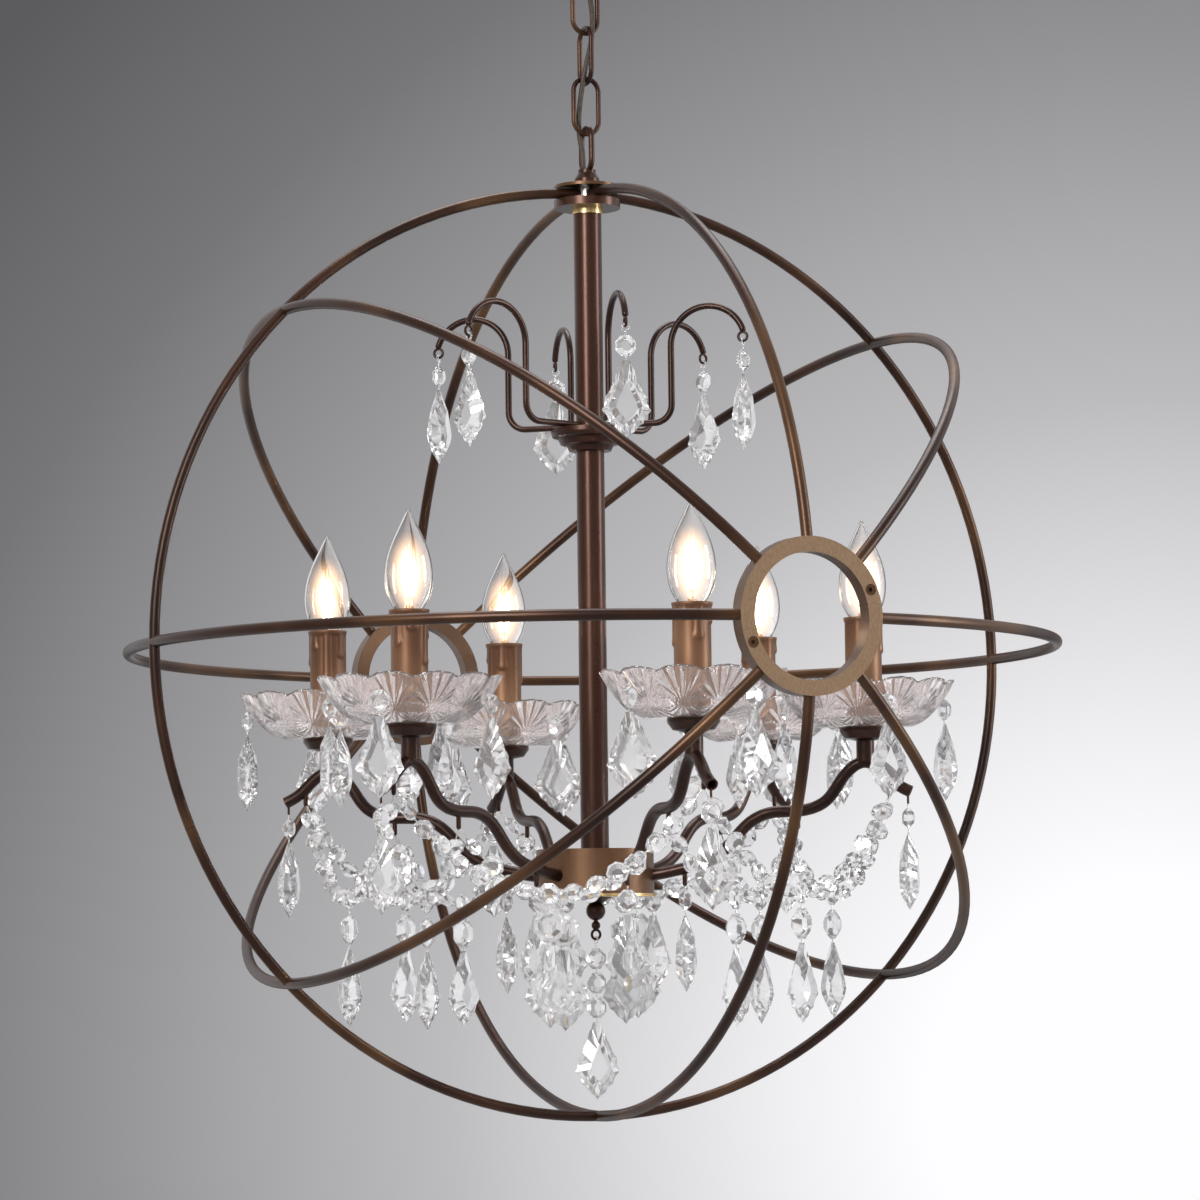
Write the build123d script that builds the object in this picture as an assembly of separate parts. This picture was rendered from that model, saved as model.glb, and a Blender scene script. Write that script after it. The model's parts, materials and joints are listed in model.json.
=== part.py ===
from build123d import *
import math
import os

os.makedirs("parts", exist_ok=True)

# All sizes are millimetres. Shapes are drawn about the centre of the cage, with +Z up and -Y to the front,
# and moved at the end so that the ceiling plane on the stem axis is the origin.

# Fits
fit_gap = 0.1  # radial gap of a part on its rod, spigot or nipple
seat_gap = 0.05  # gap between faces that rest on each other
bulb_gap = 0.4  # radial gap of a bulb base in its socket
chain_gap = 0.3  # gap between hanging links
strand_gap = 0.15  # gap between a crystal and the pin that joins it
overcut = 1.0  # how far a cutting shape stands past what it cuts
thread_stop = 0.5  # how far a threaded end stops short of its hole
share_step = 1e-6  # how closely a place along a line is found

# Cage
cage_radius = 312.5  # to the middle of the bars
hoop_dia = 7.0
rib_dia = 7.2
rib_count = 8
end_ring_dia = 98.0
end_ring_width = 9.6
end_ring_depth = 11.0
split_angle = 22.5  # where the two half cages meet, above the right-hand rib
lap_angle = 11.0  # half the arc of each lap joint in the end rings
lap_screw_dia = 4.0
lap_screw_head_dia = 7.0
lap_screw_head_depth = 2.2
lap_screw_drive_dia = 2.6
lap_screw_recess = 0.4
spigot_dia = 4.0
spigot_length = 24.0
hoop_seam = 0.2

# Top hub
hub_plate_dia = 45.0
top_plate_thickness = 2.0
bottom_plate_thickness = 5.5
hub_spacer_dia = 14.0
loop_washer_dia = 14.0
loop_washer_thickness = 2.2

# Chain and loops
link_length = 42.0
link_width = 22.0
link_wire = 3.4
link_count = 3
loop_length = 34.0
loop_width = 20.0
loop_wire = 4.0
loop_base_dia = 17.0
loop_base_height = 9.0
loop_base_edge = 2.7
loop_neck_level = 6.8
loop_neck_dia = 12.0
loop_sink = 3.0  # how far the loop is let into its base

# Ceiling fitting
canopy_dia = 127.0
canopy_depth = 26.0
canopy_wall = 1.2
canopy_face_dia = 62.0
canopy_shoulder_dia = 115.0
canopy_shoulder_level = 14.3
canopy_skirt_level = 19.5
crossbar_length = 104.0
crossbar_width = 20.0
crossbar_thickness = 2.5
crossbar_corner = 4.0
box_screw_spacing = 88.9
box_screw_slot = 9.0
box_screw_slot_width = 4.8
locknut_width = 16.0
locknut_height = 4.0

# Stem
rod_dia = 10.0
rod_bore = 6.0
stem_dia = 19.0
stem_wall = 1.5
collar_dia = 20.6
collar_height = 4.0
cup_dia = 53.0
cup_top = 151.0
cup_height = 15.0
cup_tiers = ((0.54, 0.0), (0.60, 0.22), (0.76, 0.30), (0.82, 0.55), (0.96, 0.63), (1.0, 0.80))
cord_dia = 3.5
cord_bore = 5.2
cord_offset = 4.8
cord_bend = 6.0

# Crystal hooks
hook_wire = 4.4
hook_rise_radius = 58.0
hook_bend = 12.0
hook_arch = 26.0
hook_arch_level = 205.0
hook_tip_angle = 160.0
hook_eye_dia = 8.0
hook_eye_wire = 1.8
hook_eye_drop = 1.0
hook_foot_gap = 0.5
light_count = 6
hook_azimuth = -12.5
arm_azimuth = -5.1

# Lower hub
drum_dia = 79.0
drum_rise = 178.5  # top of the drum above the middle of the lowest bar
drum_height = 30.0
drum_wall = 1.6
drum_lid = 2.0
base_plate_dia = 82.0
base_plate_thickness = 2.0
finial_cap_dia = 22.0
finial_cap_height = 4.0
finial_cap_end = 0.8  # metal left below the rod's hole
finial_neck_dia = 10.4
finial_waist_dia = 3.0
finial_ball_dia = 13.0
finial_tip_dia = 6.0
finial_length = 22.0

# Arms, whose middle line is given by shares of the reach and heights above the top of the drum
arm_dia = 8.0
arm_bore = 5.6
arm_root_radius = 36.0
arm_root_level = -18.0
arm_root_slope = 0.1
arm_tail_slope = -0.45
arm_entry_gap = 0.3
arm_wire_hole = 7.0
candle_radius = 184.0
arm_peak_level = 55.4
hub_pin_place = (0.169, -13.5)
mid_pin_place = (0.689, 23.5)
arm_line = (
    hub_pin_place,
    (0.277, -8.5),
    (0.372, 1.5),
    (0.466, 16.0),
    (0.561, 22.5),
    mid_pin_place,
    (0.818, 30.0),
    (0.905, 47.0),
)
tail_pin_reach = 16.0  # out from the candle
tail_pin_level = 44.5
tail_reach = 30.0
tail_level = 35.0
arm_wire_dia = 4.2
arm_wire_turn = 3.0  # where the wire turns up, short of the candle
arm_pin_dia = 3.2
arm_pin_length = 10.5
tail_eye_dia = 1.6
tail_eye_inset = 2.0
tail_eye_length = 8.0

# Candles
pan_dia = 34.0
pan_rise = 22.6  # top of the pan above the middle of the arm
pan_height = 7.0
pan_stem_dia = 12.0
pan_bowl_dia = 27.0
pan_edge = 2.2
pan_neck = 1.5
nipple_dia = 8.0
nipple_bore = 5.0
nipple_length = 30.0
dish_dia = 121.0
dish_height = 31.0
dish_floor_dia = 50.0
dish_floor_thickness = 2.7
dish_rim_wall = 2.0  # across the wall, level with the rim
dish_swell = 2.2  # how bowl-shaped the wall is: 1 is a plain cone
dish_steps = 8
dish_lobes = 12
dish_lobe_depth = 3.4
dish_notch_radius = 9.0
dish_hang_inset = 5.0
dish_hang_gap = 0.6
sleeve_dia = 24.0
sleeve_wall = 1.7
sleeve_length = 71.2
sleeve_rim_dia = 26.5
sleeve_rim_height = 3.5
drip_width = 5.0
drip_height = 1.1
drip_lengths = (22.0, 12.0, 34.0, 17.0, 42.0, 26.0, 9.0)
socket_dia = 18.0
socket_height = 58.0
socket_lift = 8.9  # above the floor of the dish
bulb_base_dia = 12.0
bulb_base_length = 20.0
bulb_dia = 32.0
bulb_neck_dia = 13.0
bulb_length = 70.0
bulb_wall = 0.8
bulb_lift = 2.0
bulb_contact_dia = 6.0
bulb_contact_height = 2.0
bulb_shape = ((0.88, 0.20), (1.0, 0.36), (0.72, 0.63), (0.24, 0.87))  # shares of half width and length
bulb_neck_run = (0.35, 1)
bulb_tip_run = (-0.55, 1)
filament_dia = 0.8
filament_foot = 4.8
filament_shoulder = 3.2
filament_rise = 26.0
filament_height = 32.0
filament_bend = 1.5

# Crystals
bead_size = 14.0
bead_depth = 7.5
bead_table = 0.52
bead_sides = 8
rosette_size = 20.0
rosette_depth = 9.0
pendant_length = 52.0
pendant_width = 33.0
pendant_depth = 12.0
pendant_table = 0.5
pendant_scallop = 0.9
pendant_top_dip = 0.1
pendant_middle = 0.58  # level of the widest facets, as a share of the length
pendant_outline = (  # shares of half width and length, down one side
    (0.17, 0.0),
    (0.36, 0.13),
    (0.56, 0.29),
    (0.86, 0.47),
    (1.0, 0.64),
    (0.68, 0.80),
    (0.34, 0.91),
)
joint_pin_dia = 1.0
joint_pin_length = 2.4
jump_ring_dia = 6.0
jump_ring_wire = 1.2
dish_pendants_each = 4
dish_pendant_turn = 22.0
outer_swag_sag = 66.0
outer_swag_beads = 15
inner_swag_sag = 48.0
inner_swag_beads = 9
swag_lead = 6.0  # bare pin at each end of a garland
center_beads = 3
twist_step = 67.0  # how far each bead of a strand is turned from the one before

nodes = {}


def at_azimuth(angle, radius, height=0.0):
    """Place of a thing at an azimuth from the front, with its local +X pointing outwards."""
    return Rot(Z=angle - 90) * Pos(radius, 0, height)


def tube(outer_dia, inner_dia, bottom, top):
    ring = Circle(outer_dia / 2) - Circle(inner_dia / 2)
    return extrude(Pos(0, 0, bottom) * ring, top - bottom)


def rod(dia, bottom, top):
    return extrude(Pos(0, 0, bottom) * Circle(dia / 2), top - bottom)


def turned(outline):
    """A solid of revolution about Z from a closed outline of radius and height."""
    return revolve(Plane.XZ * make_face(Polyline(*outline, close=True)), Axis.Z)


def swept(path, section):
    return sweep(Plane(origin=path @ 0, z_dir=path % 0) * section, path=path)


def polyhedron(points, faces):
    sides = [Face(Wire.make_polygon([points[i] for i in face])) for face in faces]
    return Solid(Shell(sides))


def bent_bar(radius, dia, angle):
    """Round bar bent about Z, from the X axis through an angle."""
    return Torus(radius, dia / 2, major_angle=angle, align=None)


def oval_link(length, width, wire):
    """A closed link standing in the XZ plane about its own middle."""
    bow = (width - wire) / 2
    straight = length - width
    half = Rot(X=90) * bent_bar(bow, wire, 180)
    link = Pos(0, 0, straight / 2) * half
    link += Pos(0, 0, -straight / 2) * Rot(Y=180) * half
    for side in (-bow, bow):
        link += Pos(side, 0, 0) * Cylinder(wire / 2, straight)
    return link.solid()


def azimuths(start):
    """The evenly spaced azimuths of the lights, from a first one."""
    return [start + 360 * k / light_count for k in range(light_count)]


def in_circle(start, solid):
    """A solid drawn along +X, repeated at the azimuth of each light."""
    return [at_azimuth(azimuth, 0) * solid for azimuth in azimuths(start)]


# Levels and places
drum_top = drum_rise - cage_radius
arm_root = (arm_root_radius, drum_top + arm_root_level)
arm_peak_height = drum_top + arm_peak_level
pan_top = arm_peak_height + pan_rise
tail_pin_point = (candle_radius + tail_pin_reach, drum_top + tail_pin_level)
tail_end = (candle_radius + tail_reach, drum_top + tail_level)
tail_eye_radius = tail_end[0] - tail_eye_inset
tail_eye_low = tail_end[1] - tail_eye_length
bar_top = cage_radius + hoop_dia / 2
top_plate_bottom = bar_top + seat_gap
top_plate_top = top_plate_bottom + top_plate_thickness
plate_edge_drop = cage_radius - math.sqrt(cage_radius**2 - (hub_plate_dia / 2) ** 2)
bottom_plate_top = cage_radius - hoop_dia / 2 - plate_edge_drop - seat_gap
bottom_plate_bottom = bottom_plate_top - bottom_plate_thickness
washer_top = top_plate_top + loop_washer_thickness
rod_hole = rod_dia + 2 * fit_gap


def hoop_arc(start, end):
    """Part of the upright hoop, in the plane across the end rings' axis."""
    return Rot(X=90) * Rot(Z=start) * bent_bar(cage_radius, hoop_dia, end - start)


def joint_place(angle):
    """Frame at a joint of the hoop, with Z along the bar."""
    along = (-math.sin(math.radians(angle)), 0, math.cos(math.radians(angle)))
    point = (cage_radius * math.cos(math.radians(angle)), 0, cage_radius * math.sin(math.radians(angle)))
    return Plane(origin=point, x_dir=(0, 1, 0), z_dir=along)


def make_hoops():
    spacer_room = Pos(0, 0, cage_radius) * Cylinder(hub_spacer_dia / 2 + seat_gap, 4 * hoop_dia)
    seam = math.degrees(hoop_seam / 2 / cage_radius)
    far_angle = split_angle + 180
    bores = [
        joint_place(angle) * Cylinder(spigot_dia / 2 + fit_gap, spigot_length + 2 * overcut)
        for angle in (split_angle, far_angle)
    ]
    right = hoop_arc(split_angle + seam, 90) - spacer_room - bores[0]
    left = Rot(Z=180) * (hoop_arc(seam - split_angle, 90) - spacer_room) - bores[1]
    lower = hoop_arc(far_angle + seam, split_angle + 360 - seam) - bores[0] - bores[1]
    nodes["hoop_upper_half"] = [right.solid(), left.solid()]
    nodes["hoop_lower_half"] = [lower.solid()]
    spigot = Cylinder(spigot_dia / 2, spigot_length).solid()
    nodes["hoop_spigots"] = [joint_place(angle).location * spigot for angle in (split_angle, far_angle)]


def make_ribs():
    end_ring_edge = math.degrees(math.asin(end_ring_dia / 2 / cage_radius))
    quarter = Rot(Z=-90 + end_ring_edge / 2) * bent_bar(cage_radius, rib_dia, 90 - end_ring_edge / 2)
    ring_room = Rot(X=90) * Cylinder(end_ring_dia / 2, 4 * cage_radius)
    quarter -= ring_room
    hoop = Rot(X=90) * Torus(cage_radius, hoop_dia / 2)
    spacer_room = Rot(Y=90) * Cylinder(hub_spacer_dia / 2 + seat_gap, 4 * cage_radius)
    coped = (quarter - hoop).solid()
    topmost = (quarter - spacer_room).solid()
    halves = {"ribs_upper": [], "ribs_lower": []}
    for k in range(rib_count):
        angle = 360 * k / rib_count
        is_top = math.isclose(angle, 90)
        upper = split_angle < angle < split_angle + 180
        front = topmost if is_top else coped
        pair = halves["ribs_upper" if upper else "ribs_lower"]
        pair.append(Rot(Y=-angle) * front)
        pair.append(Rot(Y=-angle) * (Rot(X=180) * front))
    nodes.update(halves)


def make_end_rings():
    """Each end ring is two half rings, lapped and screwed where the half cages meet."""
    middle = math.sqrt(cage_radius**2 - (end_ring_dia / 2) ** 2)
    inner = end_ring_dia / 2 - end_ring_width
    screw_radius = end_ring_dia / 2 - end_ring_width / 2
    layer = end_ring_depth / 2
    trim = math.degrees(seat_gap / inner)
    head_low = layer - lap_screw_head_depth
    joint_angles = (split_angle, split_angle + 180)
    screw_places = [Rot(Z=angle) * Pos(screw_radius, 0, 0) for angle in joint_angles]

    def layer_arc(start, low):
        """Half a ring, half as thick, from a starting angle."""
        turns = [math.radians(start + a) for a in (trim, 60, 120, 180 - trim)]
        reach = [(end_ring_dia * math.cos(t), end_ring_dia * math.sin(t)) for t in turns]
        wedge = make_face(Polyline((0, 0), *reach, close=True))
        ring = Circle(end_ring_dia / 2) - Circle(inner)
        return extrude(Pos(0, 0, low) * (ring & wedge), layer)

    def half_ring(start):
        half = layer_arc(start - lap_angle, 0) + layer_arc(start + lap_angle, -layer)
        for place in screw_places:
            half -= place * rod(lap_screw_dia + 2 * fit_gap, -end_ring_depth, end_ring_depth)
            half -= place * rod(lap_screw_head_dia + 2 * fit_gap, head_low, end_ring_depth)
        return half.solid()

    screw = rod(lap_screw_dia, -layer, layer - lap_screw_recess)
    screw += rod(lap_screw_head_dia, head_low + seat_gap, layer - lap_screw_recess)
    screw -= rod(lap_screw_drive_dia, head_low + 2 * lap_screw_recess, layer)
    front = Pos(0, -middle, 0) * Rot(X=90)
    upper = front * half_ring(split_angle)
    lower = front * half_ring(split_angle + 180)
    screws = [front * place * screw.solid() for place in screw_places]
    split_turn = math.radians(split_angle)
    split_line = Axis((0, 0, 0), (math.cos(split_turn), 0, math.sin(split_turn)))
    nodes["end_ring_front_upper"] = [upper]
    nodes["end_ring_front_lower"] = [lower]
    nodes["end_ring_back_upper"] = [lower.rotate(split_line, 180)]
    nodes["end_ring_back_lower"] = [upper.rotate(split_line, 180)]
    nodes["end_ring_screws"] = screws + [screw.rotate(split_line, 180) for screw in screws]


def make_top_hub():
    nodes["hub_top_plate"] = [tube(hub_plate_dia, rod_hole, top_plate_bottom, top_plate_top)]
    nodes["hub_bottom_plate"] = [tube(hub_plate_dia, rod_hole, bottom_plate_bottom, bottom_plate_top)]
    nodes["hub_spacer"] = [
        tube(hub_spacer_dia, rod_hole, bottom_plate_top + seat_gap, top_plate_bottom - seat_gap)
    ]
    nodes["loop_washer"] = [tube(loop_washer_dia, rod_hole, top_plate_top + seat_gap, washer_top)]
    collar_top = bottom_plate_bottom - seat_gap
    nodes["stem_collar"] = [tube(collar_dia, rod_hole, collar_top - collar_height, collar_top)]
    return collar_top - collar_height


def hanging_loop():
    """Cast loop on a bell base, base down at its own origin, loop in the YZ plane."""
    bell = turned(
        [
            (0, 0),
            (loop_base_dia / 2, 0),
            (loop_base_dia / 2, loop_base_edge),
            (loop_neck_dia / 2, loop_neck_level),
            (loop_neck_dia / 2, loop_base_height),
            (0, loop_base_height),
        ]
    )
    loop_middle = loop_base_height - loop_sink + loop_length / 2
    loop = bell + Pos(0, 0, loop_middle) * Rot(Z=90) * oval_link(loop_length, loop_width, loop_wire)
    loop -= rod(cord_bore, -overcut, loop_base_height + loop_wire)
    loop -= rod(rod_hole, -overcut, loop_base_height / 2)
    return loop.solid()


loop_height = loop_base_height - loop_sink + loop_length
stem_loop_base = washer_top + seat_gap
stem_loop_wire_height = stem_loop_base + loop_height - loop_wire / 2
loop_to_link = (loop_wire + link_wire) / 2 + chain_gap
link_to_link = link_wire + chain_gap
link_middles = []
link_bottom_wire = stem_loop_wire_height - loop_to_link
for _ in range(link_count):
    link_middles.insert(0, link_bottom_wire + (link_length - link_wire) / 2)
    link_top_wire = link_bottom_wire + link_length - link_wire
    link_bottom_wire = link_top_wire - link_to_link
canopy_loop_wire_height = link_top_wire - loop_to_link
canopy_face = canopy_loop_wire_height - loop_wire / 2 + loop_height
ceiling = canopy_face + canopy_depth


def make_chain():
    nodes["stem_loop"] = [Pos(0, 0, stem_loop_base) * hanging_loop()]
    nodes["canopy_loop"] = [Pos(0, 0, canopy_face - seat_gap) * Rot(X=180) * hanging_loop()]
    link = oval_link(link_length, link_width, link_wire)
    for number, middle in enumerate(link_middles):
        turn = 90 * (number % 2)
        nodes[f"chain_link_{number + 1}"] = [Pos(0, 0, middle) * Rot(Z=turn) * link]


def make_ceiling_fitting():
    half = canopy_dia / 2
    face = canopy_face_dia / 2
    shoulder = canopy_shoulder_dia / 2
    shoulder_height = canopy_face + canopy_shoulder_level
    skirt_height = canopy_face + canopy_skirt_level
    dome = [
        (rod_hole / 2, canopy_face),
        (face, canopy_face),
        (shoulder, shoulder_height),
        (half, skirt_height),
        (half, ceiling),
        (half - canopy_wall, ceiling),
        (half - canopy_wall, skirt_height + canopy_wall / 2),
        (shoulder - canopy_wall / 2, shoulder_height + canopy_wall),
        (face - canopy_wall / 2, canopy_face + canopy_wall),
        (rod_hole / 2, canopy_face + canopy_wall),
    ]
    nodes["canopy"] = [turned(dome)]
    bar_low = ceiling - crossbar_thickness
    plan = RectangleRounded(crossbar_length, crossbar_width, crossbar_corner)
    bar = extrude(Pos(0, 0, bar_low) * plan, crossbar_thickness)
    bar -= rod(rod_hole, bar_low - overcut, ceiling + overcut)
    for side in (-1, 1):
        slot = SlotOverall(box_screw_slot, box_screw_slot_width)
        place = Pos(side * box_screw_spacing / 2, 0, bar_low - overcut)
        bar -= extrude(place * slot, crossbar_thickness + 2 * overcut)
    nodes["crossbar"] = [bar.solid()]
    nut_low = bar_low - seat_gap - locknut_height
    nut = RegularPolygon(locknut_width / 2, 6, major_radius=False) - Circle(rod_hole / 2)
    nodes["locknut"] = [extrude(Pos(0, 0, nut_low) * nut, locknut_height)]
    nipple_low = canopy_face - loop_base_height / 2 + thread_stop
    nodes["canopy_nipple"] = [tube(rod_dia, rod_bore, nipple_low, ceiling)]


def make_cord():
    """Power cord, down the canopy loop, woven through the chain and down the stem into the drum."""
    joints = [canopy_loop_wire_height] + [middle - (link_length - link_wire) / 2 for middle in link_middles]
    corners = [(1, 1), (1, -1), (-1, -1), (-1, 1)]
    route = [(0, 0, ceiling), (0, 0, canopy_face - loop_base_height - loop_wire)]
    for (side_x, side_y), level in zip(corners, joints):
        route.append((side_x * cord_offset, side_y * cord_offset, level + link_wire / 2))
    route.append((0, 0, stem_loop_base + loop_base_height + loop_wire))
    route.append((0, 0, drum_top - drum_height / 2))
    nodes["power_cord"] = [swept(FilletPolyline(*route, radius=cord_bend), Circle(cord_dia / 2)).solid()]


def make_stem(stem_top):
    cup_bottom = cup_top - cup_height
    stem_bore = stem_dia - 2 * stem_wall
    nodes["stem_upper"] = [tube(stem_dia, stem_bore, cup_top + seat_gap, stem_top - seat_gap)]
    nodes["stem_lower"] = [tube(stem_dia, stem_bore, drum_top + seat_gap, cup_bottom - seat_gap)]
    side = [(cup_dia / 2 * wide, cup_bottom + cup_height * high) for wide, high in cup_tiers]
    cup = [(rod_hole / 2, cup_bottom), *side, (cup_dia / 2, cup_top), (rod_hole / 2, cup_top)]
    nodes["upper_cup"] = [turned(cup)]
    rod_top = stem_loop_base + loop_base_height / 2 - thread_stop
    cap_bottom = drum_top - drum_height - base_plate_thickness - 2 * seat_gap - finial_cap_height
    rod_bottom = cap_bottom + finial_cap_end + thread_stop
    nodes["stem_rod"] = [tube(rod_dia, rod_bore, rod_bottom, rod_top)]


hook_level = cup_top + seat_gap + hook_wire / 2
hook_start = stem_dia / 2 + hook_foot_gap
hook_tip_turn = math.radians(hook_tip_angle)
hook_tip_radius = hook_rise_radius + hook_arch - hook_arch * math.cos(hook_tip_turn)
hook_tip_height = hook_arch_level + hook_arch * math.sin(hook_tip_turn)
eye_bow = (hook_eye_dia - hook_eye_wire) / 2
hook_eye_height = hook_tip_height - hook_eye_dia / 2 - hook_eye_drop
hook_eye_wire_height = hook_eye_height - eye_bow


def make_hooks():
    foot = Line((hook_start, hook_level), (hook_rise_radius - hook_bend, hook_level))
    bend = JernArc(foot @ 1, foot % 1, hook_bend, 90)
    rise = Line(bend @ 1, (hook_rise_radius, hook_arch_level))
    arch = JernArc(rise @ 1, rise % 1, hook_arch, -hook_tip_angle)
    hook = swept(Plane.XZ * (foot + bend + rise + arch), Circle(hook_wire / 2))
    hook += Pos(hook_tip_radius, 0, hook_tip_height) * Sphere(hook_wire / 2)
    hook += Pos(hook_tip_radius, 0, hook_eye_height) * Rot(X=90) * Torus(eye_bow, hook_eye_wire / 2)
    hook = hook.solid()
    nodes["crystal_hooks"] = in_circle(hook_azimuth, hook)


def make_lower_hub():
    drum_bottom = drum_top - drum_height
    drum = rod(drum_dia, drum_bottom, drum_top)
    drum -= rod(drum_dia - 2 * drum_wall, drum_bottom - overcut, drum_top - drum_lid)
    drum -= rod(rod_hole, drum_bottom - overcut, drum_top + overcut)
    wall_middle = (drum_dia - drum_wall) / 2
    rise = (wall_middle - arm_root[0]) * arm_root_slope
    entry_turn = 90 - math.degrees(math.atan(arm_root_slope))
    arm_entry = Cylinder(arm_dia / 2 + arm_entry_gap, 8 * drum_wall)
    arm_entry = Pos(wall_middle, 0, arm_root[1] + rise) * Rot(Y=entry_turn) * arm_entry
    for entry in in_circle(arm_azimuth, arm_entry):
        drum -= entry
    nodes["hub_drum"] = [drum.solid()]
    plate_top = drum_bottom - seat_gap
    nodes["hub_base_plate"] = [tube(base_plate_dia, rod_hole, plate_top - base_plate_thickness, plate_top)]
    cap_top = plate_top - base_plate_thickness - seat_gap
    cap_bottom = cap_top - finial_cap_height
    finial = turned(
        [
            (0, cap_bottom),
            (finial_neck_dia / 2, cap_bottom),
            (finial_cap_dia / 2, cap_top),
            (0, cap_top),
        ]
    )
    ball_middle = cap_bottom - finial_neck_dia / 2
    tip_middle = cap_top - finial_length + finial_tip_dia / 2
    finial += Pos(0, 0, ball_middle) * Sphere(finial_ball_dia / 2)
    finial += rod(finial_waist_dia, tip_middle, ball_middle)
    finial += Pos(0, 0, tip_middle) * Sphere(finial_tip_dia / 2)
    tip_low = tip_middle - finial_tip_dia / 2
    finial += Pos(0, 0, tip_low - eye_bow) * Rot(X=90) * Torus(eye_bow, hook_eye_wire / 2)
    finial -= rod(rod_hole, cap_bottom + finial_cap_end, cap_top + overcut)
    nodes["finial"] = [finial.solid()]
    return tip_low - 2 * eye_bow


def arm_point(place):
    """Radius and height on the middle of an arm, from a share of its reach and a level."""
    share, level = place
    return (arm_root_radius + (candle_radius - arm_root_radius) * share, drum_top + level)


def share_at_radius(line, radius):
    """How far along an outward line, as a share of it, it reaches a radius."""
    low, high = 0.0, 1.0
    while high - low > share_step:
        middle = (low + high) / 2
        if (line @ middle).X < radius:
            low = middle
        else:
            high = middle
    return high


arm_top = arm_peak_height + arm_dia / 2
hub_pin_point = arm_point(hub_pin_place)
mid_pin_point = arm_point(mid_pin_place)
arm_climb = [arm_root, *(arm_point(place) for place in arm_line)]
arm_peak = (candle_radius, arm_peak_height)


def make_arms():
    """Scroll arms, the wires inside them and the small pins below that carry the crystals."""
    points = [*arm_climb, arm_peak, tail_pin_point, tail_end]
    middle_line = Spline(*points, tangents=[(1, arm_root_slope), (1, arm_tail_slope)])
    path = Plane.XZ * middle_line
    outer = swept(path, Circle(arm_dia / 2)).solid()
    bore = swept(path, Circle(arm_bore / 2)).solid()
    arm = outer - bore
    arm -= Pos(candle_radius, 0, 0) * rod(arm_wire_hole, arm_peak_height, arm_top + overcut)
    nodes["arms"] = in_circle(arm_azimuth, arm.solid())
    turn_share = share_at_radius(middle_line, candle_radius - arm_wire_turn)
    climb = middle_line.trim(0, turn_share)
    slope = climb % 1
    bend = JernArc(climb @ 1, slope, arm_wire_turn / (1 - slope.Y), 90 - math.degrees(math.asin(slope.Y)))
    rise = Line(bend @ 1, (candle_radius, pan_top))
    wire = swept(Plane.XZ * (climb + bend + rise), Circle(arm_wire_dia / 2)).solid()
    nodes["arm_wires"] = in_circle(arm_azimuth, wire)
    pins = []
    for radius, height in (hub_pin_point, mid_pin_point, tail_pin_point):
        pin = rod(arm_pin_dia, height - arm_pin_length, height)
        pin += Pos(0, 0, height - arm_pin_length) * Sphere(arm_pin_dia / 2)
        pins.append((Pos(radius, 0, 0) * pin - outer).solid())
    tail = Pos(tail_eye_radius, 0, 0) * rod(tail_eye_dia, tail_eye_low, tail_end[1])
    pins.append((tail - outer).solids().sort_by(Axis.Z)[0])
    nodes["arm_pins"] = []
    for pin in pins:
        nodes["arm_pins"] += in_circle(arm_azimuth, pin)
    return outer


def candle_places():
    return [at_azimuth(azimuth, candle_radius) for azimuth in azimuths(arm_azimuth)]


dish_bottom = pan_top + seat_gap
dish_rim = dish_bottom + dish_height
socket_bottom = dish_bottom + dish_floor_thickness + socket_lift
socket_top = socket_bottom + socket_height


def dish_underside(radius):
    """Height of the underside of a glass dish at a radius."""
    flat = dish_floor_dia / 2
    share = (radius - flat) / (dish_dia / 2 - flat)
    return dish_bottom + dish_height * max(share, 0) ** dish_swell


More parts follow.
